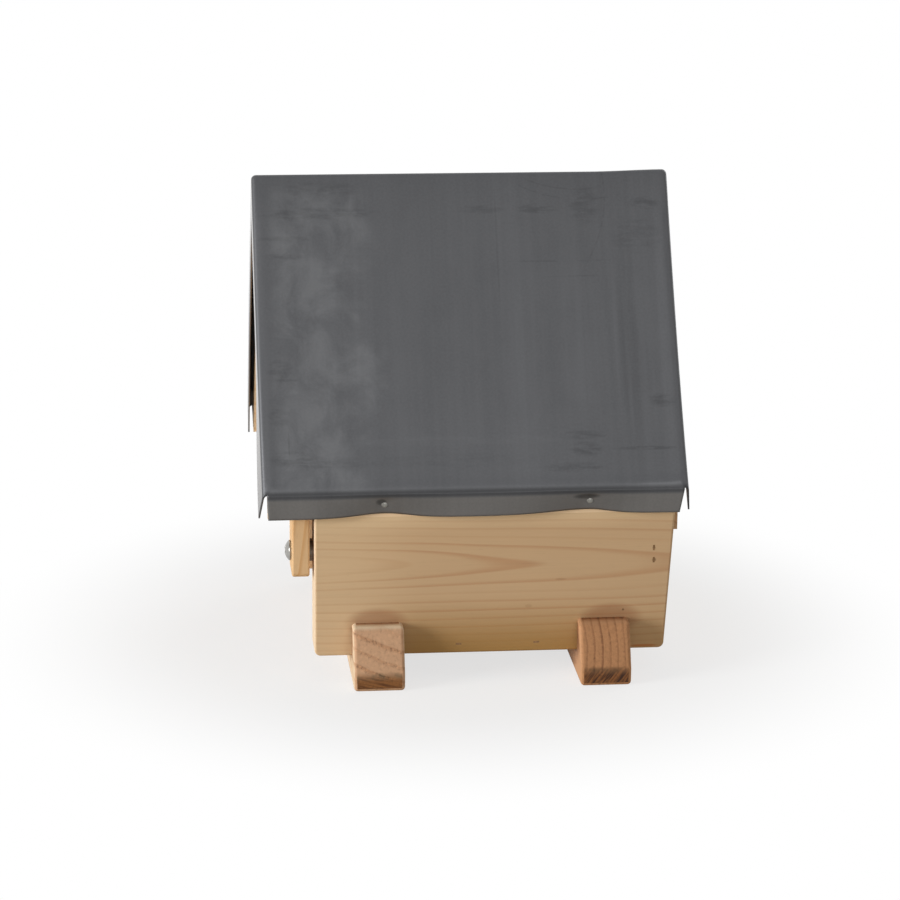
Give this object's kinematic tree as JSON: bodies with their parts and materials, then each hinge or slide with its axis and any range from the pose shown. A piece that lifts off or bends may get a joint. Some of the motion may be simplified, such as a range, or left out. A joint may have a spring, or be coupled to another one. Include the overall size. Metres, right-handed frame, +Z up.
{
  "type": "peanut butter bird feeder",
  "caption": "Gable-roofed wooden house that holds a jar of peanut butter on its side for birds, with a folded metal roof, notched batten feet and turn-buttons at the open front.",
  "frame": {"origin": "on the ground midway under the roof, centred between the ends and the feet's tips", "axes": "+X along the ridge towards the closed rear end, +Y from the near side wall to the far one, +Z up"},
  "size_m": [0.205, 0.191, 0.2372],
  "materials": {
    "zinc": "dull weathered sheet",
    "pale_pine": "planed, unfinished",
    "red_pine": "planed, reddish heartwood",
    "galvanised_steel": "dull zinc-plated",
    "polished_steel": "polished"
  },
  "bodies": {
    "house": {"roof_sheet": "zinc", "roof_nails": "galvanised_steel", "near_roof_board": "pale_pine", "far_roof_board": "pale_pine", "roof_board_brads": "galvanised_steel", "front_gable": "pale_pine", "rear_board": "pale_pine", "near_side_wall": "pale_pine", "far_side_wall": "pale_pine", "rear_brads": "galvanised_steel", "floor_board": "pale_pine", "floor_brads": "galvanised_steel", "front_foot": "red_pine", "rear_foot": "red_pine", "foot_brads": "galvanised_steel", "near_pivot_washer": "galvanised_steel", "far_pivot_washer": "galvanised_steel", "near_pivot_screw": "polished_steel", "far_pivot_screw": "polished_steel", "rear_lath": "pale_pine", "lath_brads": "galvanised_steel"},
    "near_button": {"near_turn_button": "pale_pine"},
    "far_button": {"far_turn_button": "pale_pine"}
  },
  "joints": [
    {"name": "near_button_turn", "type": "hinge", "parent": "house", "child": "near_button", "pos_m": [-0.08405, -0.0655, 0.06383], "axis": [-1, 0, 0], "range_deg": [0, 180]},
    {"name": "far_button_turn", "type": "hinge", "parent": "house", "child": "far_button", "pos_m": [-0.08405, 0.0655, 0.06383], "axis": [1, 0, 0], "range_deg": [0, 180]}
  ]
}
